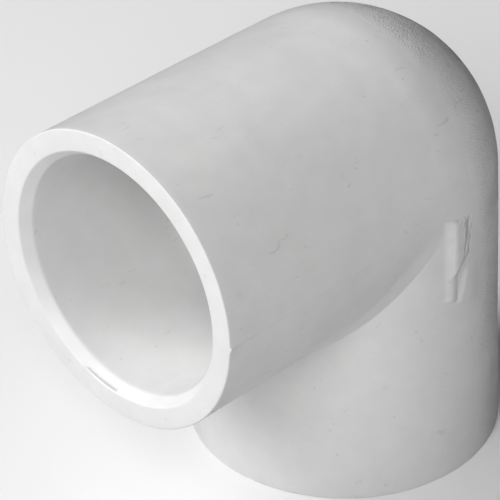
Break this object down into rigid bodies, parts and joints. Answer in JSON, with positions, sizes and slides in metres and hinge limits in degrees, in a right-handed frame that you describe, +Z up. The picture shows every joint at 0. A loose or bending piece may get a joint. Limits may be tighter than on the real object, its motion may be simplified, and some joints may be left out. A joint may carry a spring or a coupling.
{
  "type": "pvc socket elbow",
  "caption": "White PVC 90 degree slip elbow with two equal plain sockets that solvent-weld onto pipe and turn a water line through a right angle.",
  "frame": {"origin": "centre of the lower hub's rim, in the rim's plane, so the elbow stands on z = 0", "axes": "+Z up along the lower socket's axis, +X along the front socket's axis and out of its mouth; both axes lie in the XZ plane and cross at z = 33.3 mm"},
  "size_m": [0.0499, 0.0332, 0.0499],
  "materials": {
    "white_pvc": "white rigid PVC as moulded, satin"
  },
  "bodies": {
    "root": {"elbow_body": "white_pvc"}
  },
  "joints": []
}
